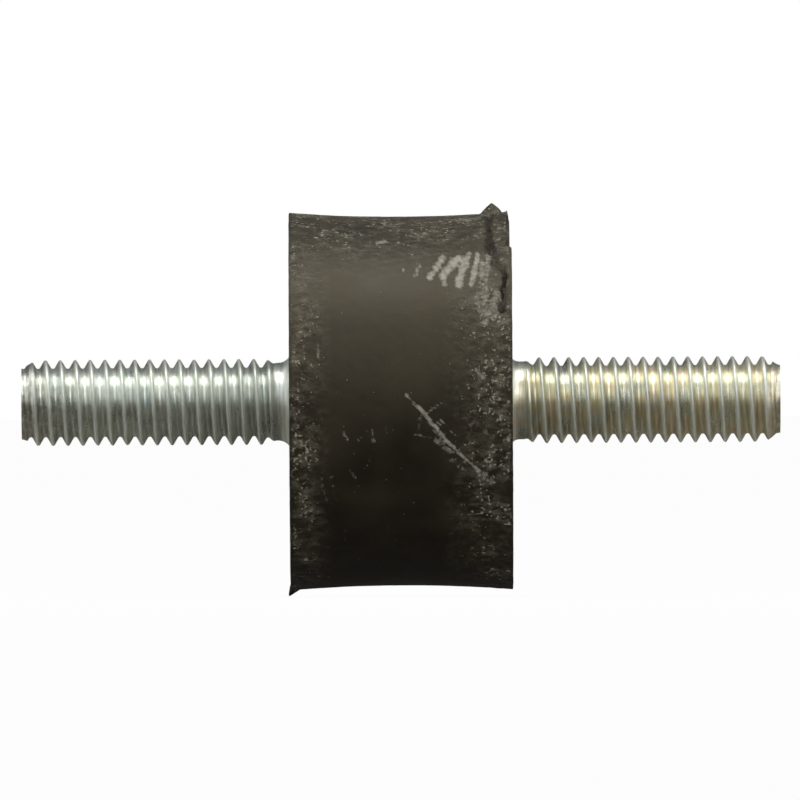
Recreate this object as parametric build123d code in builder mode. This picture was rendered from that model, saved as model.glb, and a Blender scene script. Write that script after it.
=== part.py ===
"""Bobbin vibration mount: a rubber bobbin bonded to two steel end plates, each with a threaded stud.

The stud axis runs along X through the origin, which is the middle of the rubber. +Z is up and -Y is
the front. Sizes are in millimetres and degrees.
"""

from build123d import *
import os

os.makedirs("parts", exist_ok=True)

# ---- rubber bobbin ----
body_length = 15.0          # over both end faces
lip_diameter = 25.4         # at the two ends
waist_depth = 0.3           # how far the side wall dips in at mid length
lip_edge = 0.12             # rounding of the lips' outer corners

# ---- end plates ----
rim_wall = 0.5              # rubber outside each plate's rim
skin = 0.15                 # rubber that crept over the outer face of each plate
skin_width = 1.3            # how far in from the lip the skin reaches
plate_thickness = 2.0
plate_edge = 0.15           # rounded edge of the stamped plates

# ---- studs, with a right-hand M6 x 1 thread ----
stud_length = 18.0          # from the end face of the rubber to the tip
thread_diameter = 5.8       # over the crests
blank_diameter = 5.3        # plain neck, which the thread was rolled on
thread_lead_in = 1.0        # the crests rise out of the neck over one turn
left_neck = 1.1             # from each end face to the start of its thread
right_neck = 0.75
left_tip_chamfer = 0.4
right_tip_chamfer = 0.75
neck_flare = 0.8            # radius of the flare where a stud meets its plate
shoulder_step = 0.5         # how much thicker the shank is inside the plate
press_gap = 0.0             # the shoulder is pressed into the plate, metal to metal
head_diameter = 9.6         # flat head, buried in the rubber behind the plate
head_thickness = 1.6
head_edge = 0.3

# ---- moulding flash and damage ----
tear_angle = 36.0           # skin torn off the top of the right end, to this far each side of the top
tear_depth = 0.35           # how far the lip in front of the tear is gone, past the plate's face
tear_start = 7.0            # where that gap in the lip starts, counted forward from the top
flash_height = 0.6          # fin of flash standing on top near the right end
flash_base = 1.5            # its width along the axis, at its foot
flash_tip = 0.3             # its width along the axis, at its tip
flash_inset = 1.3           # its middle, from the right end face
flash_arc = 14.0            # how far it runs round the lip
whisker_height = 0.42       # curled whisker of flash under the left end
whisker_base = 0.75
whisker_overhang = 0.12     # how far the whisker curls out past the end face
whisker_arc = 6.0
flash_root = 0.25           # how deep the flash is rooted in the rubber

# ---- worked out from the sizes above ----
end_x = body_length / 2
tip_x = end_x + stud_length
lip_radius = lip_diameter / 2
plate_radius = lip_radius - rim_wall
plate_outer_x = end_x - skin
plate_inner_x = plate_outer_x - plate_thickness
blank_radius = blank_diameter / 2
thread_radius = thread_diameter / 2
shoulder_radius = blank_radius + shoulder_step
flash_x = end_x - flash_inset


def end_plate(side):
    """A stamped steel disc with a hole for the stud. side is -1 for the left one, +1 for the right."""
    with BuildPart() as plate:
        with BuildSketch(Plane.YZ.offset(side * plate_outer_x)):
            Circle(plate_radius)
            Circle(shoulder_radius + press_gap, mode=Mode.SUBTRACT)
        extrude(amount=-side * plate_thickness)
        fillet(plate.edges().filter_by(GeomType.CIRCLE).group_by(SortBy.RADIUS)[-1], plate_edge)
    return plate


def stud(side, neck, tip_chamfer):
    """A flat-headed stud, pressed through its plate from behind. Its thread is left at crest size."""
    head_x = plate_inner_x - head_thickness
    thread_x = end_x + neck
    with BuildPart() as headed:
        with BuildSketch(Plane.XZ) as half_section:
            with BuildLine():
                Polyline(
                    (side * head_x, 0),
                    (side * head_x, head_diameter / 2),
                    (side * plate_inner_x, head_diameter / 2),
                    (side * plate_inner_x, shoulder_radius),
                    (side * plate_outer_x, shoulder_radius),
                    (side * plate_outer_x, blank_radius + neck_flare),
                )
                RadiusArc(
                    (side * plate_outer_x, blank_radius + neck_flare),
                    (side * (plate_outer_x + neck_flare), blank_radius),
                    side * neck_flare,
                )
                Polyline(
                    (side * (plate_outer_x + neck_flare), blank_radius),
                    (side * thread_x, blank_radius),
                    (side * (thread_x + thread_lead_in), thread_radius),
                    (side * (tip_x - tip_chamfer), thread_radius),
                    (side * tip_x, thread_radius - tip_chamfer),
                    (side * tip_x, 0),
                    (side * head_x, 0),
                )
            make_face()
            head_corners = half_section.vertices().group_by(Axis.Y)[-1].sort_by(Axis.X)
            fillet(head_corners[0] if side > 0 else head_corners[-1], head_edge)
        revolve(axis=Axis.X)
    return headed


left_end_plate = end_plate(-1)
left_end_plate.part.label = "left_end_plate"
right_end_plate = end_plate(+1)
right_end_plate.part.label = "right_end_plate"
left_stud = stud(-1, left_neck, left_tip_chamfer)
left_stud.part.label = "left_stud"
right_stud = stud(+1, right_neck, right_tip_chamfer)
right_stud.part.label = "right_stud"
metalwork = [left_end_plate, right_end_plate, left_stud, right_stud]

with BuildPart() as rubber_body:
    # side wall: one shallow concave arc from lip to lip
    with BuildSketch(Plane.XZ) as bobbin_half:
        with BuildLine():
            ThreePointArc((-end_x, lip_radius), (0, lip_radius - waist_depth), (end_x, lip_radius))
            Polyline((end_x, lip_radius), (end_x, 0), (-end_x, 0), (-end_x, lip_radius))
        make_face()
        fillet(bobbin_half.vertices().group_by(Axis.Y)[-1], lip_edge)
    revolve(axis=Axis.X)

    # inside the ring of skin, each end face is open down to the plate
    for side in (-1, 1):
        with BuildSketch(Plane.YZ.offset(side * end_x)):
            Circle(lip_radius - skin_width)
        extrude(amount=-side * skin, mode=Mode.SUBTRACT)

    # the top of the right end has lost its skin, and in front of the top also the lip round the plate
    with BuildSketch(Plane.XZ.rotated((-tear_angle, 0, 0))):
        with Locations((end_x, lip_radius)):
            Rectangle(2 * skin, 2 * skin_width)
    revolve(axis=Axis.X, revolution_arc=2 * tear_angle, mode=Mode.SUBTRACT)
    with BuildSketch(Plane.XZ.rotated((tear_start, 0, 0))):
        with Locations((end_x, lip_radius)):
            Rectangle(2 * (skin + tear_depth), 2 * rim_wall)
    revolve(axis=Axis.X, revolution_arc=tear_angle - tear_start, mode=Mode.SUBTRACT)

    # fin of flash standing on the top of the lip, near the right end
    with BuildSketch(Plane.XZ.rotated((-flash_arc / 2, 0, 0))):
        with BuildLine():
            Polyline(
                (flash_x - flash_base / 2, lip_radius - flash_root),
                (flash_x - flash_base / 2, lip_radius - flash_root / 2),
                (flash_x - flash_tip / 2, lip_radius + flash_height),
                (flash_x + flash_tip / 2, lip_radius + flash_height),
                (flash_x + flash_base / 2, lip_radius - flash_root / 2),
                (flash_x + flash_base / 2, lip_radius - flash_root),
                close=True,
            )
        make_face()
    revolve(axis=Axis.X, revolution_arc=flash_arc)

    # whisker of flash that curls out and down under the left end
    with BuildSketch(Plane.XZ.rotated((-whisker_arc / 2, 0, 0))):
        with BuildLine():
            Polyline(
                (-end_x, flash_root - lip_radius),
                (-end_x - whisker_overhang, -lip_radius - whisker_height / 3),
                (-end_x - whisker_overhang / 2, -lip_radius - whisker_height),
                (-end_x + whisker_base, flash_root / 4 - lip_radius),
                (-end_x + whisker_base, flash_root - lip_radius),
                close=True,
            )
        make_face()
    revolve(axis=Axis.X, revolution_arc=whisker_arc)

    # the rubber is moulded around the metalwork
    add([piece.part for piece in metalwork], mode=Mode.SUBTRACT)
rubber_body.part.label = "rubber_body"

for piece in [rubber_body] + metalwork:
    export_step(piece.part, f"parts/{piece.part.label}.step")
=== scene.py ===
# %% [markdown]
# # A rubber bobbin mount
# A small vibration mount lies on its side: a short rubber cylinder with a steel disc bonded to each
# end, and an M6 stud standing out of each disc. The solids come ready made from the part itself.
# Here the plain studs get their rolled thread, and the rubber its moulding flash, tears and scuffs.

# %% Load the part and keep its box
import math
import bpy
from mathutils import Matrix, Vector, noise


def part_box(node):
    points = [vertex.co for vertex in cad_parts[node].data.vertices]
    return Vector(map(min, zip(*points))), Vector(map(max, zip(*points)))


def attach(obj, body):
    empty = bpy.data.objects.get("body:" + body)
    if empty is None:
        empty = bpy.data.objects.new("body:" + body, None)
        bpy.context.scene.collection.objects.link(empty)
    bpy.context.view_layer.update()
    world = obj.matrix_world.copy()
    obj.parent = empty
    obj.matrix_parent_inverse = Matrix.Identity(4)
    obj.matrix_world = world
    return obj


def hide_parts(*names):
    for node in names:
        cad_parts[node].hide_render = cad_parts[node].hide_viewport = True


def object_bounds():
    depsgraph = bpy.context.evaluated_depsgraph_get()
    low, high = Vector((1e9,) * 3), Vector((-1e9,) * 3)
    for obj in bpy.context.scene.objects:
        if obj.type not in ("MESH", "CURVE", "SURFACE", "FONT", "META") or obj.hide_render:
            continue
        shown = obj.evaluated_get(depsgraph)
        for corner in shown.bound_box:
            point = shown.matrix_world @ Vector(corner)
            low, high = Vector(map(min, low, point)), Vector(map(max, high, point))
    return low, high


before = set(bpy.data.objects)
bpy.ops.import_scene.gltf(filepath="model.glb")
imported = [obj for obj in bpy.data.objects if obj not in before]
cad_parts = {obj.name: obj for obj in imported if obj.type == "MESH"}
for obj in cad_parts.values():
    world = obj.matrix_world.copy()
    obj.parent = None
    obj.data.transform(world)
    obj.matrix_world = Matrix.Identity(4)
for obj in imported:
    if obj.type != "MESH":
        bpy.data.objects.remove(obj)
cad_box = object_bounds()
print("solids:", sorted(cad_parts))

# %% Sizes taken from the solids, in metres
MM = 0.001
plate_low, plate_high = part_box("right_end_plate")
stud_low, stud_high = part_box("right_stud")
plate_face_x = plate_high.x
plate_back_x = plate_low.x
plate_radius = plate_high.z
stud_tip_x = stud_high.x
head_x = stud_low.x
head_radius = stud_high.z
body_end_x = 7.5 * MM
lip_radius = 12.7 * MM
shoulder_radius = 3.15 * MM
head_chamfer = 0.3 * MM
pole_radius = 0.02 * MM
at_plane = 0.002 * MM
print("plate face", plate_face_x, "plate radius", plate_radius, "stud tip", stud_tip_x)

# %% [markdown]
# ## Drawing half a section
# Turned and rolled parts are easiest to make from half of their section. A line can be drawn by hand:
# a plane is merged to one vertex, and that vertex is extruded from corner to corner. The line lies in
# the XZ plane, with X along the axis and Z as the radius.


# %% Helpers for drawing, selecting and easing
def start_piece(name):
    """A new one-vertex piece at the origin, in edit mode."""
    bpy.ops.object.select_all(action="DESELECT")
    bpy.ops.mesh.primitive_plane_add(size=MM)
    piece = bpy.context.object
    piece.name = piece.data.name = name + "_shape"
    bpy.ops.object.mode_set(mode="EDIT")
    bpy.ops.mesh.select_mode(type="VERT")
    bpy.ops.mesh.select_all(action="SELECT")
    bpy.ops.mesh.merge(type="CENTER")
    return piece


def draw_line(points):
    """Moves the one vertex to the first (x, radius) point and extrudes it to each of the others."""
    here = Vector((0, 0, 0))
    for number, (x, radius) in enumerate(points):
        target = Vector((x, 0, radius))
        if number == 0:
            bpy.ops.transform.translate(value=target - here)
        else:
            bpy.ops.mesh.extrude_region_move(TRANSFORM_OT_translate={"value": target - here})
        here = target


def select_where(piece, test):
    """Selects the vertices whose place passes the test, and leaves the piece in edit mode."""
    bpy.ops.object.mode_set(mode="EDIT")
    bpy.ops.mesh.select_mode(type="VERT")
    bpy.ops.mesh.select_all(action="DESELECT")
    bpy.ops.object.mode_set(mode="OBJECT")
    for vertex in piece.data.vertices:
        vertex.select = test(vertex.co)
    bpy.ops.object.mode_set(mode="EDIT")


def ease(value):
    """0 below 0, 1 above 1, and a smooth rise between."""
    value = min(max(value, 0.0), 1.0)
    return value * value * (3 - 2 * value)


# %% [markdown]
# ## The rolled thread
# The thread is M6 x 1: each turn moves 1 mm along, its flanks meet at 60 degrees, and rolling leaves
# both crests and roots rounded. A stack of rings would be simpler, but its crests wouldn't lean. So one
# pitch of that outline is drawn once, and a Screw modifier winds it round the axis. Each turn is merged
# to the next, so the whole thread is a single skin.

# %% One pitch of the thread, as (part of a turn along, radius in mm)
pitch = 1.0 * MM
neck_radius = 2.62 * MM
crest_radius = 2.89 * MM
flank = [(0.00, 2.89), (0.05, 2.885), (0.10, 2.83), (0.18, 2.69), (0.27, 2.53), (0.36, 2.375), (0.42, 2.32)]
one_pitch = flank + [(0.50, 2.30)] + [(1 - part, radius) for part, radius in reversed(flank)]
steps_per_turn = 96


def wind_thread(name, first_crest_x, turns):
    """A right-hand thread along +X whose crest passes first_crest_x at the top."""
    piece = start_piece(name)
    draw_line([(first_crest_x + part * pitch, radius * MM) for part, radius in one_pitch])
    bpy.ops.object.mode_set(mode="OBJECT")
    screw = piece.modifiers.new("thread", "SCREW")
    screw.axis = "X"
    screw.angle = 2 * math.pi
    screw.screw_offset = pitch
    screw.iterations = turns
    screw.steps = screw.render_steps = steps_per_turn
    screw.use_merge_vertices = True
    screw.merge_threshold = 0.002 * MM
    bpy.ops.object.modifier_apply(modifier="thread")
    bpy.ops.object.mode_set(mode="EDIT")
    bpy.ops.mesh.select_all(action="SELECT")
    bpy.ops.mesh.remove_doubles(threshold=0.002 * MM)
    bpy.ops.object.mode_set(mode="OBJECT")
    print(name, "wound:", len(piece.data.vertices), "vertices")
    return piece


# %% [markdown]
# ## From thread to stud
# The long thread is cut square at both ends. Beside the plate it fades into the plain neck that it was
# rolled on, and near the tip the crests are worn down to a chamfer. The neck's open ring is then
# extruded inwards in a few steps: a flare onto the plate, the shoulder in the plate and the flat head.


# %% Cut, wear and close one stud
def grow_ring(from_x, from_radius, to_x, to_radius):
    """Extrudes the selected ring along the axis and scales it to its new radius."""
    bpy.ops.mesh.extrude_region_move(TRANSFORM_OT_translate={"value": (to_x - from_x, 0, 0)})
    scale = to_radius / from_radius
    bpy.ops.transform.resize(value=(1, scale, scale), center_override=(to_x, 0, 0))


def make_stud(name, side, start_x, top_crest, tip_wear, flare):
    """side is -1 for the left stud. The thread starts at start_x, with a crest at the part top_crest of a
    pitch along its top. tip_wear is the chamfer's depth, and flare the rounding beside the plate."""
    near, far = sorted((side * start_x, side * stud_tip_x))
    first = math.floor(near / pitch - 2) * pitch + top_crest * pitch
    piece = wind_thread(name, first, int((far - near) / pitch) + 5)
    bpy.ops.object.mode_set(mode="EDIT")
    for place, outward in ((near, -1), (far, 1)):
        bpy.ops.mesh.select_all(action="SELECT")
        bpy.ops.mesh.bisect(plane_co=(place, 0, 0), plane_no=(outward, 0, 0), clear_outer=True,
                            threshold=0.0005 * MM)
    bpy.ops.object.mode_set(mode="OBJECT")

    for vertex in piece.data.vertices:
        x, y, z = vertex.co
        radius = math.hypot(y, z)
        fade = ease((side * x - start_x) / pitch)
        new = neck_radius + (radius - neck_radius) * fade
        to_tip = stud_tip_x - side * x
        # a chamfer over the last 1.1 mm, and uneven wear over the last 3.2 mm
        uneven = 0.5 + 0.5 * noise.noise(Vector((x, y, z)) * 420)
        worn = crest_radius - tip_wear * (1 - ease(to_tip / (1.1 * MM)))
        worn -= 0.10 * MM * (1 - ease(to_tip / (3.2 * MM))) * uneven
        new = min(new, worn)
        # small knocks in the crests, and the faint unevenness of a rolled skin
        if radius > 2.75 * MM:
            knock = noise.noise(Vector((x * 900, y * 700, z * 700)) + Vector((side * 5, 0, 0)))
            new -= 0.035 * MM * max(knock - 0.15, 0) * 2
        new += 0.006 * MM * noise.noise(Vector((x * 2600, y * 900, z * 900)))
        vertex.co.y, vertex.co.z = y * new / radius, z * new / radius

    # flare, shoulder and head, grown from the neck's open ring
    select_where(piece, lambda co: abs(co.x - side * start_x) < at_plane)
    x, radius = side * start_x, neck_radius
    rings = [(side * (plate_face_x + flare), neck_radius)]
    flare_steps = 6
    for step in range(1, flare_steps + 1):
        angle = math.radians(90 * step / flare_steps)
        rings.append((side * (plate_face_x + flare * (1 - math.sin(angle))),
                      neck_radius + flare * (1 - math.cos(angle))))
    rings += [
        (side * plate_face_x, shoulder_radius),
        (side * plate_back_x, shoulder_radius),
        (side * plate_back_x, head_radius),
        (side * (head_x + head_chamfer), head_radius),
        (side * head_x, head_radius - head_chamfer),
        (side * head_x, pole_radius),
    ]
    for next_x, next_radius in rings:
        grow_ring(x, radius, next_x, next_radius)
        x, radius = next_x, next_radius
    bpy.ops.mesh.edge_face_add()

    # the tip is one flat face
    select_where(piece, lambda co: abs(co.x - side * stud_tip_x) < at_plane)
    bpy.ops.mesh.edge_face_add()
    bpy.ops.mesh.select_all(action="SELECT")
    bpy.ops.mesh.remove_doubles(threshold=0.001 * MM)
    bpy.ops.mesh.normals_make_consistent(inside=False)
    bpy.ops.object.mode_set(mode="OBJECT")
    bpy.ops.object.shade_smooth_by_angle(angle=math.radians(48))
    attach(piece, "root")
    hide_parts(name)
    return piece


left_stud = make_stud("left_stud", -1, 8.3 * MM, 0.11, 0.42 * MM, 0.9 * MM)
right_stud = make_stud("right_stud", +1, 8.2 * MM, 0.30, 0.55 * MM, 0.6 * MM)
for stud in (left_stud, right_stud):
    front = min(stud.data.vertices, key=lambda v: (v.co.y if 12 * MM < abs(v.co.x) < 13.01 * MM else 1))
    print(stud.name, "polygons", len(stud.data.polygons), "front crest at x mm", round(front.co.x / MM, 2))

# %% [markdown]
# ## The rubber bobbin
# The rubber was pressed into a split mould around the discs, so its wall is one shallow hollow curve
# with thin sharp lips, and it keeps a pocket that the discs and stud heads fill. Half of that section
# is drawn and spun round the axis. The wall gets a point every 0.1 to 0.2 mm, so that flash, torn
# edges and dents can be pulled out of the skin itself.

# %% Section of the bobbin, drawn from one end of its pocket to the other
waist_depth = 0.3 * MM
ring_inner = 11.4 * MM


def wall_radius(x):
    """Radius of the side wall: a shallow arc, deepest half way along."""
    return lip_radius - waist_depth * (1 - (x / body_end_x) ** 2)


pocket = [(head_x, 0.0), (head_x, head_radius), (plate_back_x, head_radius), (plate_back_x, plate_radius),
          (plate_face_x, plate_radius), (plate_face_x, ring_inner), (body_end_x, ring_inner)]
end_ring = [(body_end_x, radius * MM) for radius in (11.6, 11.8, 12.0, 12.2, 12.35, 12.5, 12.62)]
wall_x = [7.46 * MM - 0.1 * MM * step for step in range(32)]
wall_x += [wall_x[-1] - 0.19 * MM * step for step in range(1, 60)]
wall_x = [x for x in wall_x if x > -7.3 * MM] + [-7.38 * MM, -7.46 * MM]
wall = [(x, wall_radius(x)) for x in wall_x]
mirrored = [(-x, radius) for x, radius in reversed(pocket + end_ring)]
rubber = start_piece("rubber_body")
draw_line(pocket + end_ring + wall + mirrored)
bpy.ops.mesh.select_all(action="SELECT")
bpy.ops.mesh.spin(steps=480, angle=2 * math.pi, center=(0, 0, 0), axis=(1, 0, 0))
bpy.ops.mesh.select_all(action="SELECT")
bpy.ops.mesh.remove_doubles(threshold=0.002 * MM)
bpy.ops.mesh.normals_make_consistent(inside=False)
bpy.ops.object.mode_set(mode="OBJECT")
print("bobbin:", len(rubber.data.vertices), "vertices")

# %% [markdown]
# ## Flash, tears and scuffs
# A fin of flash stands on top near the right lip, and a whisker curls under the left one. Below the fin
# a crack runs down beside the lip, and the lip's skin is torn off the steel at the top. They could be
# sculpted, but sums on each vertex's place come out alike on every run. The same pass writes two values
# on each vertex, scuff and crack, that the finish reads.

# %% Places of the marks: x and height z on the front of the bobbin, in mm
# pale rubbed strokes: start x, start z, end x, end z, half width, strength
strokes = [
    (1.25, 9.1, 1.0, 8.4, 0.13, 0.7), (0.2, 8.8, 0.15, 8.65, 0.12, 0.8),
    (2.9, 9.6, 1.95, 8.2, 0.20, 0.95), (3.9, 9.55, 2.85, 8.4, 0.27, 1.0),
    (2.85, 8.4, 2.95, 7.8, 0.16, 0.8), (4.6, 9.85, 4.3, 9.2, 0.16, 0.8),
    (4.3, 9.2, 3.95, 7.85, 0.29, 1.0), (5.2, 9.75, 4.8, 7.8, 0.19, 0.9),
    (5.95, 9.8, 5.7, 8.0, 0.22, 0.55), (5.5, 9.2, 5.4, 8.2, 0.18, 0.6),
    (5.6, 7.7, 5.5, 6.2, 0.40, 0.45), (6.5, 7.1, 6.2, 5.6, 0.34, 0.5), (5.1, 7.0, 5.5, 5.4, 0.30, 0.38),
    (5.9, 5.8, 5.6, 5.2, 0.24, 0.55), (0.3, 0.4, 1.6, -1.0, 0.10, 0.6),
    (1.1, -0.3, 2.5, -2.0, 0.13, 0.95), (2.3, -1.8, 3.6, -3.2, 0.11, 0.8),
    (3.4, -3.0, 5.2, -4.75, 0.10, 0.7), (1.5, -0.9, 3.4, -2.1, 0.06, 0.5),
    (2.0, -1.6, 2.9, -3.0, 0.12, 0.4), (1.3, -0.9, 1.1, -1.9, 0.12, 0.35),
    (1.0, -2.2, 2.2, -2.6, 0.08, 0.4), (2.2, -2.6, 3.4, -3.5, 0.16, 0.4),
    (2.6, -1.3, 3.8, -2.4, 0.05, 0.55), (1.9, -0.7, 2.8, -0.1, 0.10, 0.35),
    (3.3, -3.9, 4.4, -4.7, 0.14, 0.3), (4.9, -4.6, 6.0, -5.4, 0.26, 0.42),
    (3.9, -1.3, 5.4, -0.4, 0.22, 0.22), (4.6, -1.4, 5.9, -2.2, 0.35, 0.22),
    (-6.55, 3.9, -6.5, 3.0, 0.09, 0.4), (-5.5, 3.7, -5.45, 2.9, 0.09, 0.6),
    (-3.95, -1.9, -3.6, -2.7, 0.07, 0.55), (-3.0, -2.8, -2.7, -2.4, 0.07, 0.45),
    (-1.9, -2.0, -1.8, -2.8, 0.11, 0.4), (-1.2, -1.2, -0.9, -2.3, 0.06, 0.25),
    (-2.6, -4.6, -2.0, -3.9, 0.08, 0.35), (-3.4, -4.7, -3.0, -5.1, 0.12, 0.3),
    (-0.9, -5.1, -1.3, -6.0, 0.06, 0.3), (-4.7, -4.8, -4.4, -6.6, 0.12, 0.25),
    (-5.4, -5.2, -5.0, -6.7, 0.14, 0.25), (-5.5, -9.6, -4.4, -9.9, 0.1, 0.2),
    (-3.9, -8.4, -3.7, -9.6, 0.07, 0.22), (-1.6, 10.55, -0.9, 10.65, 0.1, 0.9),
    (3.9, 12.1, 5.4, 12.25, 0.12, 0.45), (0.7, 11.2, 2.2, 11.0, 0.14, 0.3),
    (5.0, 2.1, 5.6, 1.5, 0.16, 0.5), (6.9, -2.7, 7.2, -2.5, 0.14, 0.6),
]
# the crack beside the right lip, from the foot of the fin downwards
crack_line = [(5.95, 12.3), (6.0, 10.7), (6.1, 9.9), (6.42, 9.65), (6.24, 9.35), (6.6, 9.1), (7.02, 8.6),
              (6.9, 7.4), (6.8, 6.0)]


def distance_to(x, z, ax, az, bx, bz):
    """Distance from the point x, z to the line between points a and b, all in mm."""
    squared_length = (bx - ax) ** 2 + (bz - az) ** 2
    part = min(max(((x - ax) * (bx - ax) + (z - az) * (bz - az)) / squared_length, 0), 1)
    return math.hypot(x - ax - part * (bx - ax), z - az - part * (bz - az))


def weave(place, scale):
    """Noise between -1 and 1, with features of the given size in mm."""
    return noise.noise(place / (scale * MM))


# %% Shape the skin and record where it is scuffed or cracked
# sizes of the moulding faults, in mm and degrees; only the skin outside the rim radius moves outwards
rim = 12.2
fin_x, fin_half_width, fin_height = 6.14, 0.72, 0.70
whisker_height, whisker_lean = 0.40, 0.13
torn_half_angle = 36
scuff = rubber.data.attributes.new("scuff", "FLOAT", "POINT")
crack = rubber.data.attributes.new("crack", "FLOAT", "POINT")
for vertex in rubber.data.vertices:
    place = vertex.co.copy()
    x, y, z = place.x / MM, place.y / MM, place.z / MM
    radius = math.hypot(y, z)
    if radius < 11.3 or abs(x) < 7.34 and radius < 12.25:
        continue
    angle = math.degrees(math.atan2(-y, z))        # 0 at the top, 90 at the front
    outer = ease((radius - rim) / 0.3)
    out = 0.0
    # rough wall: slow waves, and a pitted band beside each lip
    band = ease((abs(x) - 4.6) / 2.0)
    out += 0.018 * weave(place, 2.6) + (0.010 + 0.022 * band) * weave(place, 0.55)
    # crack, and the narrow rim it leaves standing
    crack_depth = 0.0
    if x > 5.2 and y < 2 and z > 4.5:
        ragged_x, ragged_z = x + 0.13 * weave(place, 0.4), z + 0.13 * weave(place + Vector((0, 0, 1)), 0.4)
        near = min(distance_to(ragged_x, ragged_z, *a, *b) for a, b in zip(crack_line, crack_line[1:]))
        width = 0.19 + 0.14 * weave(place, 0.7)
        crack_depth = math.exp(-(near / width) ** 2)
        out -= (0.30 + 0.15 * weave(place, 0.6)) * crack_depth
    crack.data[vertex.index].value = crack_depth
    # fin of flash on the top of the right end
    if abs(angle) < 9 and 4.8 < x < 7.4:
        ragged = 0.06 * weave(place, 0.4)
        slope = 1 - abs(x - fin_x - ragged) / (fin_half_width + ragged)
        out += fin_height * max(slope, 0) ** 0.85 * ease((8 - abs(angle + 20 * ragged)) / 3.5)
    # small pointed corner on top of the right lip
    if abs(angle) < 9 and x > 6.9 and outer:
        out += 0.12 * (x - 6.9) / 0.6 * ease((9 - abs(angle)) / 4)
    # whisker that curls out and down under the left end
    under = abs(abs(angle) - 180)
    if under < 4.5 and x < -6.6:
        curl = ease((4.2 - under) / 3.0) * ease((-6.7 - x) / 0.8) ** 1.6
        out += whisker_height * curl * outer
        x -= whisker_lean * curl * outer
    scale = 1 + out * outer / radius
    vertex.co.y *= scale
    vertex.co.z *= scale
    # the end faces: uneven lips, and the torn skin round the top of the right one
    if abs(x) > 7.3:
        x -= math.copysign(0.02 + 0.02 * weave(place, 0.9), x)
    if x > 6.9 and abs(angle + 3 * weave(place, 1.2)) < torn_half_angle:
        torn = 7.31 - 0.10 * ease((radius - rim) / 0.5) - 0.05 * abs(weave(place, 0.5))
        if angle > 8 and radius > rim:
            torn -= 0.09 * ease((angle - 8) / 6)
        x = min(x, torn)
    vertex.co.x = x * MM
    # scuffs: the listed strokes on the front, and loose ones on the back
    rubbed = 0.0
    if y < 0 and radius > rim:
        wobble_x, wobble_z = x + 0.09 * weave(place, 0.75), z + 0.12 * weave(place + Vector((0, 0, 1)), 0.8)
        for ax, az, bx, bz, half_width, strength in strokes:
            if abs(x - ax) < 3 and abs(z - az) < 3:
                near = distance_to(wobble_x, wobble_z, ax, az, bx, bz)
                rubbed = max(rubbed, strength * (1 - ease((near / half_width - 0.55) / 0.9)))
    if y > 0:
        streak = Vector((place.x, place.y * 0.35, place.z * 0.35))
        rubbed = 0.7 * ease((weave(streak, 0.7) - 0.48) / 0.25)
    scuff.data[vertex.index].value = rubbed

bpy.ops.object.select_all(action="DESELECT")
rubber.select_set(True)
bpy.context.view_layer.objects.active = rubber
bpy.ops.object.shade_smooth_by_angle(angle=math.radians(40))
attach(rubber, "root")
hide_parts("rubber_body")
print("bobbin polygons:", len(rubber.data.polygons))

# %% [markdown]
# ## Finishes
# Every finish is a small graph of nodes read from Object coordinates, whose unit is the metre, so a
# pattern's scale is 1 divided by its size. Colours are written as they look on a screen and one
# function turns them to the linear values that a renderer needs.


# %% Helpers for colours and nodes
def linear(colour):
    """A #rrggbb colour as linear RGBA."""
    parts = [int(colour[place:place + 2], 16) / 255 for place in (1, 3, 5)]
    return tuple(part / 12.92 if part <= 0.04045 else ((part + 0.055) / 1.055) ** 2.4
                 for part in parts) + (1.0,)


def add_node(tree, kind, inputs=None, stops=None, **settings):
    """Adds a node. inputs hold socket values or sockets to link from; stops are a ramp's (place, value)."""
    made = tree.nodes.new(kind)
    for setting, value in settings.items():
        setattr(made, setting, value)
    for socket, value in (inputs or {}).items():
        if isinstance(value, bpy.types.NodeSocket):
            tree.links.new(value, made.inputs[socket])
        else:
            made.inputs[socket].default_value = value
    if stops:
        while len(made.color_ramp.elements) < len(stops):
            made.color_ramp.elements.new(1.0)
        for element, (place, value) in zip(made.color_ramp.elements, stops):
            element.position = place
            element.color = linear(value) if isinstance(value, str) else (value, value, value, 1.0)
    return made


def new_finish(name):
    """An empty material with its Principled shader and Object coordinates."""
    material = bpy.data.materials.new(name)
    material.use_nodes = True
    tree = material.node_tree
    tree.nodes.clear()
    shader = add_node(tree, "ShaderNodeBsdfPrincipled")
    add_node(tree, "ShaderNodeOutputMaterial", {"Surface": shader.outputs[0]})
    place = add_node(tree, "ShaderNodeTexCoord").outputs["Object"]
    return material, tree, shader, place


# a Mix node has sockets for every kind of value: these are the ones for colours
FACTOR, COLOUR_A, COLOUR_B, MIXED = 0, 6, 7, 2


# %% [markdown]
# ### Moulded black rubber
# Old natural rubber, filled with carbon black. It is a dull brown-black with a soft broad sheen, and its
# skin is pitted, dusty beside the lips and rubbed pale where metal scraped it.

# %% Rubber finish: ground colour and dusty regions
rubber_finish, tree, shader, place = new_finish("moulded_black_rubber")
# the ground colour drifts over blotches about 3.6 mm across
blotches = add_node(tree, "ShaderNodeTexNoise", {"Vector": place, "Scale": 280.0, "Detail": 5.0})
ground = add_node(tree, "ShaderNodeValToRGB", {"Fac": blotches.outputs[0]},
                  [(0.35, "#1c1810"), (0.52, "#262116"), (0.70, "#30291c")])
split = add_node(tree, "ShaderNodeSeparateXYZ", {"Vector": place})
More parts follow.
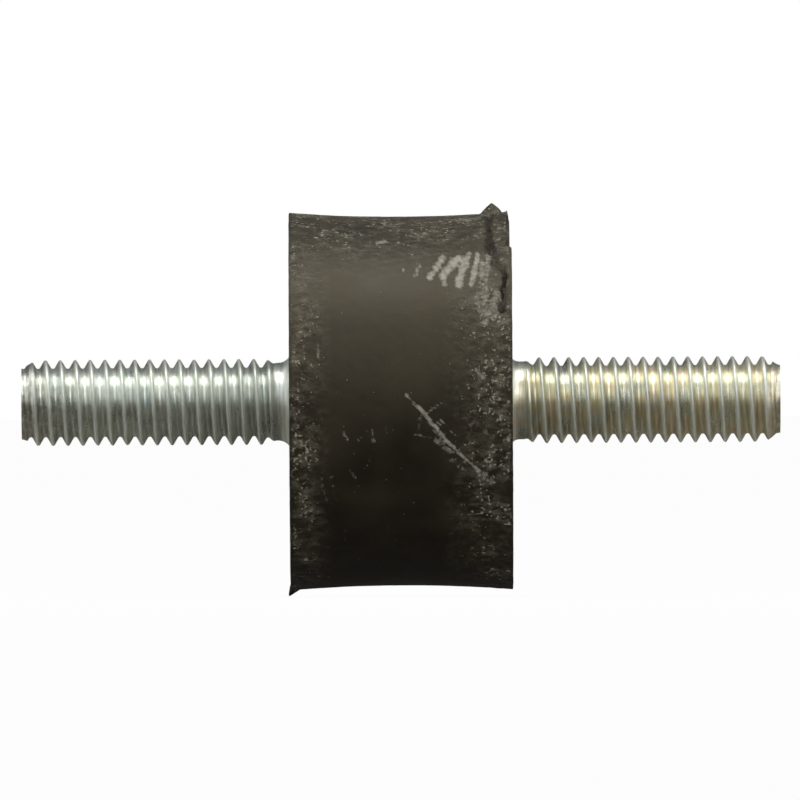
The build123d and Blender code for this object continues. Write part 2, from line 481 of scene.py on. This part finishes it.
# dust lies beside both lips; towards the top the same pale bloom and flecks grow as well; all in patches
# about 2 mm across
left_band = add_node(
    tree, "ShaderNodeMapRange",
    {"Value": split.outputs["X"], "From Min": -4.6 * MM, "From Max": -6.4 * MM, "To Min": 0.0,
     "To Max": 1.0})
right_band = add_node(
    tree, "ShaderNodeMapRange",
    {"Value": split.outputs["X"], "From Min": 2.6 * MM, "From Max": 6.2 * MM, "To Min": 0.0, "To Max": 1.0})
paler_towards_top = add_node(
    tree, "ShaderNodeMapRange",
    {"Value": split.outputs["Z"], "From Min": 8.0 * MM, "From Max": 11.5 * MM, "To Min": 0.0,
     "To Max": 0.95})
both_bands = add_node(
    tree, "ShaderNodeMath", {0: left_band.outputs[0], 1: right_band.outputs[0]}, operation="MAXIMUM")
dusty = add_node(
    tree, "ShaderNodeMath", {0: both_bands.outputs[0], 1: paler_towards_top.outputs[0]}, operation="MAXIMUM")
patches = add_node(
    tree, "ShaderNodeTexNoise", {"Vector": place, "Scale": 520.0, "Detail": 4.0, "Roughness": 0.6})
patchy = add_node(
    tree, "ShaderNodeMapRange",
    {"Value": patches.outputs[0], "From Min": 0.36, "From Max": 0.60, "To Min": 0.15, "To Max": 1.0})
dust_and_top_mask = add_node(
    tree, "ShaderNodeMath", {0: dusty.outputs[0], 1: patchy.outputs[0]}, operation="MULTIPLY")

# %% Rubber finish: mottling, flecks, scuffs and cracks
# grey bloom in the pits, about 0.4 mm across and drawn out along the axis
drawn_out = add_node(tree, "ShaderNodeMapping", {"Vector": place, "Scale": (0.6, 1.0, 1.0)})
mottle = add_node(
    tree, "ShaderNodeTexNoise",
    {"Vector": drawn_out.outputs[0], "Scale": 2400.0, "Detail": 6.0, "Roughness": 0.68})
bloom = add_node(
    tree, "ShaderNodeMapRange",
    {"Value": mottle.outputs[0], "From Min": 0.44, "From Max": 0.62, "To Min": 0.0, "To Max": 0.8})
bloom_part = add_node(
    tree, "ShaderNodeMath", {0: bloom.outputs[0], 1: dust_and_top_mask.outputs[0]}, operation="MULTIPLY")
bloom_colour = add_node(
    tree, "ShaderNodeMix",
    {FACTOR: bloom_part.outputs[0], COLOUR_A: ground.outputs[0], COLOUR_B: linear("#767160")},
    data_type="RGBA").outputs[MIXED]
# flecks of white dust and torn skin, 0.1 to 0.25 mm across
flecks = add_node(
    tree, "ShaderNodeTexNoise", {"Vector": place, "Scale": 4300.0, "Detail": 2.0, "Roughness": 0.5})
fleck_line = add_node(
    tree, "ShaderNodeMapRange",
    {"Value": dust_and_top_mask.outputs[0], "From Min": 0.0, "From Max": 0.9, "To Min": 0.74, "To Max": 0.555})
fleck_over = add_node(
    tree, "ShaderNodeMath", {0: flecks.outputs[0], 1: fleck_line.outputs[0]}, operation="SUBTRACT")
fleck = add_node(
    tree, "ShaderNodeMapRange",
    {"Value": fleck_over.outputs[0], "From Min": 0.0, "From Max": 0.08, "To Min": 0.0, "To Max": 0.85})
dust_colour = add_node(
    tree, "ShaderNodeMix",
    {FACTOR: fleck.outputs[0], COLOUR_A: bloom_colour, COLOUR_B: linear("#b4af9f")},
    data_type="RGBA").outputs[MIXED]
# rubbed strokes: pale where the stroke is strong, with edges broken up by a fine grain
scuffed = add_node(tree, "ShaderNodeAttribute", attribute_name="scuff", attribute_type="GEOMETRY")
grain = add_node(
    tree, "ShaderNodeTexNoise", {"Vector": place, "Scale": 3600.0, "Detail": 5.0, "Roughness": 0.65})
grain_shift = add_node(
    tree, "ShaderNodeMath", {0: grain.outputs[0], 1: 1.9, 2: -0.95}, operation="MULTIPLY_ADD")
broken = add_node(
    tree, "ShaderNodeMath", {0: scuffed.outputs["Fac"], 1: grain_shift.outputs[0]}, operation="ADD")
rubbed_edge = add_node(
    tree, "ShaderNodeMapRange",
    {"Value": broken.outputs[0], "From Min": 0.25, "From Max": 1.25, "To Min": 0.0, "To Max": 1.0})
touched = add_node(
    tree, "ShaderNodeMapRange",
    {"Value": scuffed.outputs["Fac"], "From Min": 0.02, "From Max": 0.25, "To Min": 0.0, "To Max": 1.0})
rubbed = add_node(
    tree, "ShaderNodeMath", {0: rubbed_edge.outputs[0], 1: touched.outputs[0]}, operation="MULTIPLY")
rubbed_colour = add_node(
    tree, "ShaderNodeMix",
    {FACTOR: rubbed.outputs[0], COLOUR_A: dust_colour, COLOUR_B: linear("#cfcaba")},
    data_type="RGBA").outputs[MIXED]
# the crack is painted darker: painted shade down in its groove
cracked = add_node(tree, "ShaderNodeAttribute", attribute_name="crack", attribute_type="GEOMETRY")
crack_shade_colour = add_node(
    tree, "ShaderNodeMix",
    {FACTOR: cracked.outputs["Fac"], COLOUR_A: rubbed_colour, COLOUR_B: linear("#1a120a")},
    data_type="RGBA").outputs[MIXED]
# the thin lips are cleaner and darker than the dusty band inside them
along = add_node(tree, "ShaderNodeMath", {0: split.outputs["X"]}, operation="ABSOLUTE")
lip_part = add_node(
    tree, "ShaderNodeMapRange",
    {"Value": along.outputs[0], "From Min": 7.22 * MM, "From Max": 7.32 * MM, "To Min": 0.0,
     "To Max": 0.75})
final_colour = add_node(
    tree, "ShaderNodeMix",
    {FACTOR: lip_part.outputs[0], COLOUR_A: crack_shade_colour, COLOUR_B: linear("#231f17")},
    data_type="RGBA").outputs[MIXED]
tree.links.new(final_colour, shader.inputs["Base Color"])

# %% Rubber finish: sheen and pits
gloss = add_node(
    tree, "ShaderNodeMapRange",
    {"Value": blotches.outputs[0], "From Min": 0.3, "From Max": 0.7, "To Min": 0.42, "To Max": 0.54})
tree.links.new(gloss.outputs[0], shader.inputs["Roughness"])
shader.inputs["Specular IOR Level"].default_value = 0.5
shader.inputs["Specular Tint"].default_value = linear("#fff2d6")
# pits about 0.6 mm across, deepest where the dust lies beside the lips and towards the top
pits = add_node(
    tree, "ShaderNodeTexNoise", {"Vector": place, "Scale": 1700.0, "Detail": 6.0, "Roughness": 0.6})
pit_depth = add_node(
    tree, "ShaderNodeMapRange",
    {"Value": dust_and_top_mask.outputs[0], "From Min": 0.0, "From Max": 1.0, "To Min": 0.12, "To Max": 1.0})
pit_height = add_node(
    tree, "ShaderNodeMath", {0: pits.outputs[0], 1: pit_depth.outputs[0]}, operation="MULTIPLY")
pit_bump = add_node(
    tree, "ShaderNodeBump", {"Height": pit_height.outputs[0], "Distance": 0.16 * MM, "Strength": 0.9})
pale = add_node(tree, "ShaderNodeMath", {0: fleck.outputs[0], 1: rubbed.outputs[0]}, operation="MAXIMUM")
fleck_bump = add_node(
    tree, "ShaderNodeBump", {"Height": pale.outputs[0], "Distance": 0.04 * MM, "Strength": 0.7, 
                                              "Normal": pit_bump.outputs[0]})
tree.links.new(fleck_bump.outputs[0], shader.inputs["Normal"])
rubber.data.materials.clear()
rubber.data.materials.append(rubber_finish)

# %% [markdown]
# ### Zinc-plated steel
# Cold-rolled studs with a bright zinc coat and a thin passivation film. The film gives the left stud a
# cool green-grey tint and the right one pale yellow patches. Rolling leaves fine lines along the thread,
# so the pattern is squeezed along X and drawn out round the stud. Real rolling lines are only a few
# hundredths of a millimetre wide, so they are drawn about 0.15 mm wide to show at all.


# %% Plating finish for each stud
def plating(name, tints, grime_x, side):
    """tints are the film's colours; grime_x is how far from the middle the dirty tip starts, in mm."""
    material, tree, shader, place = new_finish(name)
    # the film's tint drifts over patches about 2 mm across
    film = add_node(tree, "ShaderNodeTexNoise", {"Vector": place, "Scale": 500.0, "Detail": 3.0})
    tint = add_node(tree, "ShaderNodeValToRGB", {"Fac": film.outputs[0]}, tints)
    squeezed = add_node(tree, "ShaderNodeMapping", {"Vector": place, "Scale": (6500.0, 520.0, 520.0)})
    lines = add_node(
        tree, "ShaderNodeTexNoise", {"Vector": squeezed.outputs[0], "Scale": 1.0, "Detail": 4.0})
    shade = add_node(
        tree, "ShaderNodeMapRange",
        {"Value": lines.outputs[0], "From Min": 0.32, "From Max": 0.66, "To Min": 0.62, "To Max": 1.08})
    lined = add_node(
        tree, "ShaderNodeMix",
        {FACTOR: 1.0, COLOUR_A: tint.outputs[0], COLOUR_B: shade.outputs[0]}, data_type="RGBA",
        blend_type="MULTIPLY").outputs[MIXED]
    split = add_node(tree, "ShaderNodeSeparateXYZ", {"Vector": place})
    reach = add_node(tree, "ShaderNodeMath", {0: split.outputs["X"], 1: float(side)}, operation="MULTIPLY")
    tip = add_node(
        tree, "ShaderNodeMapRange",
        {"Value": reach.outputs[0], "From Min": grime_x * MM, "From Max": 25.6 * MM, "To Min": 0.0,
         "To Max": 0.55})
    # dirt at the tip, in spots about 0.45 mm across
    dirt = add_node(tree, "ShaderNodeTexNoise", {"Vector": place, "Scale": 2200.0, "Detail": 5.0})
    dirt_part = add_node(
        tree, "ShaderNodeMapRange",
        {"Value": dirt.outputs[0], "From Min": 0.42, "From Max": 0.60, "To Min": 0.0, "To Max": 1.0})
    grime = add_node(
        tree, "ShaderNodeMath", {0: tip.outputs[0], 1: dirt_part.outputs[0]}, operation="MULTIPLY")
    colour = add_node(
        tree, "ShaderNodeMix",
        {FACTOR: grime.outputs[0], COLOUR_A: lined, COLOUR_B: linear("#8c8270")},
        data_type="RGBA").outputs[MIXED]
    # the crests are worn matt, and their colour is painted pale while the roots stay darker: partly wear
    # and partly painted shade in the roots, where the thread hides the light
    across = add_node(
        tree, "ShaderNodeCombineXYZ", {"X": 0.0, "Y": split.outputs["Y"], "Z": split.outputs["Z"]})
    from_axis = add_node(tree, "ShaderNodeVectorMath", {0: across.outputs[0]}, operation="LENGTH")
    crest = add_node(
        tree, "ShaderNodeMapRange",
        {"Value": from_axis.outputs["Value"], "From Min": 2.66 * MM, "From Max": 2.84 * MM, "To Min": 0.0,
         "To Max": 1.0})
    patchy_crest_wear_and_light = add_node(
        tree, "ShaderNodeMath",
        {0: crest.outputs[0], 1: shade.outputs[0]}, operation="MULTIPLY", use_clamp=True)
    crest_wear_and_light_colour = add_node(
        tree, "ShaderNodeMix",
        {FACTOR: patchy_crest_wear_and_light.outputs[0], COLOUR_A: colour, COLOUR_B: linear("#dfe4da")},
        data_type="RGBA").outputs[MIXED]
    tree.links.new(crest_wear_and_light_colour, shader.inputs["Base Color"])
    metal_part = add_node(
        tree, "ShaderNodeMapRange",
        {"Value": crest.outputs[0], "From Min": 0.0, "From Max": 1.0, "To Min": 0.92, "To Max": 0.60})
    tree.links.new(metal_part.outputs[0], shader.inputs["Metallic"])
    rough = add_node(
        tree, "ShaderNodeMapRange",
        {"Value": film.outputs[0], "From Min": 0.3, "From Max": 0.7, "To Min": 0.24, "To Max": 0.36})
    rougher = add_node(
        tree, "ShaderNodeMath",
        {0: crest.outputs[0], 1: 0.10, 2: rough.outputs[0]}, operation="MULTIPLY_ADD")
    tree.links.new(rougher.outputs[0], shader.inputs["Roughness"])
    line_bump = add_node(
        tree, "ShaderNodeBump", {"Height": lines.outputs[0], "Distance": 0.035 * MM, "Strength": 0.8})
    dent_bump = add_node(
        tree, "ShaderNodeBump", {"Height": dirt.outputs[0], "Distance": 0.02 * MM, "Strength": 0.5, 
                                                 "Normal": line_bump.outputs[0]})
    tree.links.new(dent_bump.outputs[0], shader.inputs["Normal"])
    return material


left_stud.data.materials.clear()
left_stud.data.materials.append(plating("zinc_plating_green_film",
    [(0.35, "#dbe2da"), (0.55, "#e6eae1"), (0.70, "#d6dfdb")], 21.0, -1))
right_stud.data.materials.clear()
right_stud.data.materials.append(plating("zinc_plating_yellow_film",
    [(0.32, "#e6e8dc"), (0.50, "#eeecd4"), (0.60, "#f0e4c8"), (0.70, "#e2e6dc")], 24.6, 1))

# %% [markdown]
# ### Stamped end discs
# Mild steel blanks with a thin plating, dulled by the hot mould. Brown bonding agent stains their rims
# and stayed where the skin tore away.

# %% Disc finish
disc_finish, tree, shader, place = new_finish("stamped_plated_disc")
split = add_node(tree, "ShaderNodeSeparateXYZ", {"Vector": place})
square_y = add_node(tree, "ShaderNodeMath", {0: split.outputs["Y"], 1: 2.0}, operation="POWER")
square_z = add_node(tree, "ShaderNodeMath", {0: split.outputs["Z"], 1: 2.0}, operation="POWER")
both = add_node(tree, "ShaderNodeMath", {0: square_y.outputs[0], 1: square_z.outputs[0]}, operation="ADD")
from_axis = add_node(tree, "ShaderNodeMath", {0: both.outputs[0], 1: 0.5}, operation="POWER")
# stains about 1.7 mm across, which gather at the rim
stain = add_node(tree, "ShaderNodeTexNoise", {"Vector": place, "Scale": 600.0, "Detail": 5.0})
spread = add_node(
    tree, "ShaderNodeMath",
    {0: stain.outputs[0], 1: 2.2 * MM, 2: from_axis.outputs[0]}, operation="MULTIPLY_ADD")
rim_part = add_node(
    tree, "ShaderNodeMapRange",
    {"Value": spread.outputs[0], "From Min": 12.6 * MM, "From Max": 13.3 * MM, "To Min": 0.0,
     "To Max": 0.9})
steel = add_node(
    tree, "ShaderNodeValToRGB",
    {"Fac": stain.outputs[0]}, [(0.35, "#a3a69c"), (0.55, "#b2b4a8"), (0.75, "#a8a496")])
colour = add_node(
    tree, "ShaderNodeMix",
    {FACTOR: rim_part.outputs[0], COLOUR_A: steel.outputs[0], COLOUR_B: linear("#8a6440")},
    data_type="RGBA").outputs[MIXED]
tree.links.new(colour, shader.inputs["Base Color"])
metal_part = add_node(
    tree, "ShaderNodeMapRange",
    {"Value": rim_part.outputs[0], "From Min": 0.0, "From Max": 0.9, "To Min": 1.0, "To Max": 0.15})
tree.links.new(metal_part.outputs[0], shader.inputs["Metallic"])
dull = add_node(
    tree, "ShaderNodeMapRange",
    {"Value": stain.outputs[0], "From Min": 0.3, "From Max": 0.7, "To Min": 0.34, "To Max": 0.55})
tree.links.new(dull.outputs[0], shader.inputs["Roughness"])
fine = add_node(tree, "ShaderNodeTexNoise", {"Vector": place, "Scale": 2600.0, "Detail": 4.0})
fine_bump = add_node(
    tree, "ShaderNodeBump", {"Height": fine.outputs[0], "Distance": 0.02 * MM, "Strength": 0.6})
tree.links.new(fine_bump.outputs[0], shader.inputs["Normal"])
for name in ("left_end_plate", "right_end_plate"):
    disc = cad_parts[name]
    disc.data.materials.clear()
    disc.data.materials.append(disc_finish)

# %% [markdown]
# ## Floor, cards and light
# The mount lies on a white floor under one large soft lamp, above and a little in front. Bright metal
# shows what stands round it. A whole room could be built for that, but five flat grey cards that only
# reflections see are enough: one on the floor, a darker one under the rubber, two in front and one
# behind. They are dark near the floor and give the studs their dark lower half.

# %% White floor that keeps a faint shadow, and white all round
floor_z = cad_box[0].z - 0.02 * MM
bpy.ops.object.select_all(action="DESELECT")
bpy.ops.mesh.primitive_plane_add(size=40.0, location=(0, 0, floor_z))
floor = bpy.context.object
floor.name = "floor"
floor_finish = bpy.data.materials.new("white_floor")
floor_finish.use_nodes = True
tree = floor_finish.node_tree
tree.nodes.clear()
paper = add_node(tree, "ShaderNodeBsdfDiffuse", {"Color": linear("#fafafa")})
white = add_node(tree, "ShaderNodeEmission", {"Color": (1, 1, 1, 1), "Strength": 1.0})
rays = add_node(tree, "ShaderNodeLightPath")
seen = add_node(
    tree, "ShaderNodeMath",
    {0: rays.outputs["Is Camera Ray"], 1: rays.outputs["Is Glossy Ray"]}, operation="MAXIMUM")
seen_through = add_node(
    tree, "ShaderNodeMath",
    {0: seen.outputs[0], 1: rays.outputs["Is Transmission Ray"]}, operation="MAXIMUM")
how_white = add_node(tree, "ShaderNodeMath", {0: seen_through.outputs[0], 1: 0.97}, operation="MULTIPLY")
surface = add_node(
    tree, "ShaderNodeMixShader", {0: how_white.outputs[0], 1: paper.outputs[0], 2: white.outputs[0]})
add_node(tree, "ShaderNodeOutputMaterial", {"Surface": surface.outputs[0]})
floor.data.materials.append(floor_finish)

world = bpy.data.worlds.new("soft_room")
bpy.context.scene.world = world
world.use_nodes = True
tree = world.node_tree
tree.nodes.clear()
room = add_node(tree, "ShaderNodeBackground", {"Color": linear("#ffffff"), "Strength": 0.16})
backdrop = add_node(tree, "ShaderNodeBackground", {"Color": (1, 1, 1, 1), "Strength": 1.0})
rays = add_node(tree, "ShaderNodeLightPath")
seen = add_node(
    tree, "ShaderNodeMath",
    {0: rays.outputs["Is Camera Ray"], 1: rays.outputs["Is Glossy Ray"]}, operation="MAXIMUM")
seen_through = add_node(
    tree, "ShaderNodeMath",
    {0: seen.outputs[0], 1: rays.outputs["Is Transmission Ray"]}, operation="MAXIMUM")
sky = add_node(
    tree, "ShaderNodeMixShader", {0: seen_through.outputs[0], 1: room.outputs[0], 2: backdrop.outputs[0]})
add_node(tree, "ShaderNodeOutputWorld", {"Surface": sky.outputs[0]})


# %% Grey cards that only reflections see
def reflection_card(name, corners, low_grey, high_grey, tone="#ffffff"):
    """A flat card through four corners in mm. It mirrors as low_grey at floor level and as high_grey at
    its top."""
    bpy.ops.object.select_all(action="DESELECT")
    bpy.ops.mesh.primitive_plane_add(size=1)
    card = bpy.context.object
    card.name = name
    for vertex, corner in zip(card.data.vertices, corners):
        vertex.co = Vector(corner) * MM
    top = max(corner[2] for corner in corners) * MM
    paint = bpy.data.materials.new(name + "_grey")
    paint.use_nodes = True
    tree = paint.node_tree
    tree.nodes.clear()
    where = add_node(tree, "ShaderNodeNewGeometry")
    split = add_node(tree, "ShaderNodeSeparateXYZ", {"Vector": where.outputs["Position"]})
    grey = add_node(
        tree, "ShaderNodeMapRange",
        {"Value": split.outputs["Z"], "From Min": floor_z, "From Max": max(top, floor_z + MM),
         "To Min": low_grey, "To Max": high_grey})
    glow = add_node(tree, "ShaderNodeEmission", {"Color": linear(tone), "Strength": grey.outputs[0]})
    add_node(tree, "ShaderNodeOutputMaterial", {"Surface": glow.outputs[0]})
    card.data.materials.append(paint)
    card.visible_camera = card.visible_diffuse = card.visible_shadow = card.visible_transmission = False
    return card


low_z = floor_z / MM + 0.005
reflection_card(
    "low_card", [(-280, -500, low_z), (280, -500, low_z), (-280, 150, low_z), (280, 150, low_z)], 0.17,
    0.17, "#fff4e0")
reflection_card(
    "middle_card", [(-11, -70, low_z + 0.004), (11, -70, low_z + 0.004), (-11, 70, low_z + 0.004),
     (11, 70, low_z + 0.004)], 0.07, 0.07)
reflection_card(
    "front_card", [(-900, -500, low_z), (11, -500, low_z), (-900, -500, 420), (11, -500, 420)], 0.24, 1.05)
reflection_card(
    "right_front_card", [(11, -500, low_z), (900, -500, low_z), (11, -500, 420), (900, -500, 420)], 0.40,
    2.3)
reflection_card(
    "back_card", [(-230, 150, low_z), (230, 150, low_z), (-230, 150, 600), (230, 150, 600)], 0.06, 0.60)

# %% One large soft lamp above and in front
lamp_place = Vector((0.0, -0.075, 0.41))
bpy.ops.object.light_add(type="AREA", location=lamp_place)
lamp = bpy.context.object
lamp.name = "soft_box"
lamp.data.shape = "RECTANGLE"
lamp.data.size, lamp.data.size_y = 0.62, 0.23
lamp.data.energy = 1.15
lamp.rotation_euler = lamp_place.to_track_quat("Z", "Y").to_euler()

# %% [markdown]
# ## Camera
# The mount is small and is seen square from the side. A near camera would swell the middle of the short
# cylinder, so it stands two metres off with a long lens, which is set from the width that it has to show.

# %% Camera, level with the axis and square to it
view_width = 53.8 * MM
distance = 2.0
bpy.ops.object.camera_add(
    location=(-0.06 * MM, -distance, 0.07 * MM), rotation=(math.radians(90), math.radians(0.33), 0))
camera = bpy.context.object
camera.data.sensor_width = 36
camera.data.lens = camera.data.sensor_width * distance / view_width
camera.data.clip_start = 0.01
bpy.context.scene.camera = camera
bpy.context.scene.view_settings.view_transform = "Standard"

# %% [markdown]
# ## Size
# The finish and the thread mustn't change how big the mount is; the box of the solids is printed here.

# %% Print the size of the solids, and finish
print("cad box mm", [[round(value / MM, 2) for value in corner] for corner in cad_box])
